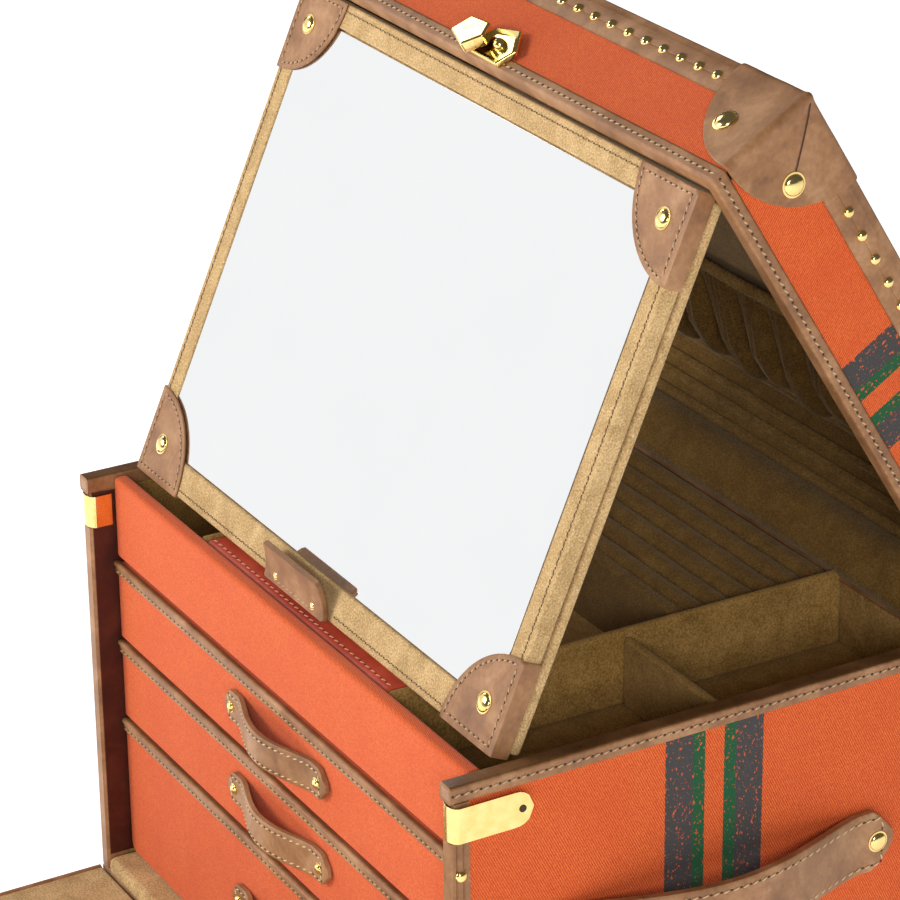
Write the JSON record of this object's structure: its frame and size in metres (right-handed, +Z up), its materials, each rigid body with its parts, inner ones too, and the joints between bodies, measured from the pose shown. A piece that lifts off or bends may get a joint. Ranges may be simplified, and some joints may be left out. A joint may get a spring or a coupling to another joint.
{
  "type": "jewellery case",
  "caption": "Trunk-shaped leather and canvas jewellery case with raised lid, propping mirror panel, divided tray, drawers behind a drop front and side carrying handles.",
  "frame": {"origin": "middle of the case's flat underside", "axes": "+X to the case's right side, -Y to its front, +Z up"},
  "size_m": [0.357, 0.4657, 0.4352],
  "materials": {
    "orange_canvas": "orange woven canvas glued over board",
    "brown_leather": "smooth waxed leather, pale stitching",
    "tan_suede": "short-napped suede cloth over board",
    "red_leather": "soft red leather",
    "brass": "polished",
    "mirror_glass": "clear silvered mirror"
  },
  "bodies": {
    "case": {"base_panel": "orange_canvas", "left_wall": "orange_canvas", "right_wall": "orange_canvas", "back_wall": "orange_canvas", "fascia": "orange_canvas", "tray_floor": "tan_suede", "drawer_shelf_1": "tan_suede", "drawer_shelf_2": "tan_suede", "divider_left": "tan_suede", "divider_right": "tan_suede", "cross_divider": "tan_suede", "front_pad": "red_leather", "ring_roll_cushion": "tan_suede", "case_rim_binding": "brown_leather", "edge_binding_left": "brown_leather", "edge_binding_right": "brown_leather", "clip_left": "brass", "clip_right": "brass", "side_handle_left": "brown_leather", "side_handle_right": "brown_leather", "hinge_left": "brass", "hinge_right": "brass"},
    "lid": {"lid_top": "orange_canvas", "lid_front_wall": "orange_canvas", "lid_left_wall": "orange_canvas", "lid_right_wall": "orange_canvas", "lid_back_wall": "orange_canvas", "lid_rim_binding": "brown_leather", "stud_band_front": "brown_leather", "stud_band_left": "brown_leather", "stud_band_right": "brown_leather", "corner_cap_front_left": "brown_leather", "corner_cap_front_right": "brown_leather", "corner_cap_back_left": "brown_leather", "corner_cap_back_right": "brown_leather", "lid_hinge_leaf_left": "brass", "lid_hinge_leaf_right": "brass", "lid_lining": "tan_suede", "lid_pocket": "tan_suede", "latch_plate": "brass"},
    "latch": {"latch_hook": "brass"},
    "mirror_panel": {"mirror_frame": "tan_suede", "mirror_glass": "mirror_glass", "mirror_back": "tan_suede", "mirror_corner_lower_left": "brown_leather", "mirror_corner_lower_right": "brown_leather", "mirror_corner_upper_left": "brown_leather", "mirror_corner_upper_right": "brown_leather", "mirror_tab": "brown_leather"},
    "drawer_1": {"drawer_1_box": "tan_suede", "drawer_1_welt": "brown_leather", "drawer_1_pull": "brown_leather"},
    "drawer_2": {"drawer_2_box": "tan_suede", "drawer_2_welt": "brown_leather", "drawer_2_pull": "brown_leather"},
    "drawer_3": {"drawer_3_box": "tan_suede", "drawer_3_welt": "brown_leather", "drawer_3_pull": "brown_leather"},
    "flap": {"flap_binding": "brown_leather", "flap_board": "tan_suede"}
  },
  "joints": [
    {"name": "lid_hinge", "type": "hinge", "parent": "case", "child": "lid", "pos_m": [0, 0.1187, 0.2], "axis": [-1, 0, 0], "range_deg": [0, 41.4]},
    {"name": "mirror_fold", "type": "hinge", "parent": "lid", "child": "mirror_panel", "pos_m": [0, -0.00651, 0.40264], "axis": [1, 0, 0], "range_deg": [0, 54.8]},
    {"name": "latch_swing", "type": "hinge", "parent": "lid", "child": "latch", "pos_m": [-0.0055, -0.00488, 0.41781], "axis": [0, 0.521, -0.8536], "range_deg": [0, 50]},
    {"name": "flap_hinge", "type": "hinge", "parent": "case", "child": "flap", "pos_m": [0, -0.1166, 0.01], "axis": [1, 0, 0], "range_deg": [-90, 0]},
    {"name": "drawer_1_slide", "type": "slide", "parent": "case", "child": "drawer_1", "axis": [0, -1, 0], "range_m": [0, 0.15]},
    {"name": "drawer_2_slide", "type": "slide", "parent": "case", "child": "drawer_2", "axis": [0, -1, 0], "range_m": [0, 0.15]},
    {"name": "drawer_3_slide", "type": "slide", "parent": "case", "child": "drawer_3", "axis": [0, -1, 0], "range_m": [0, 0.15]}
  ],
  "couplings": [
    {"joint": "mirror_fold", "follows": "lid_hinge", "ratio": 1.3236}
  ]
}
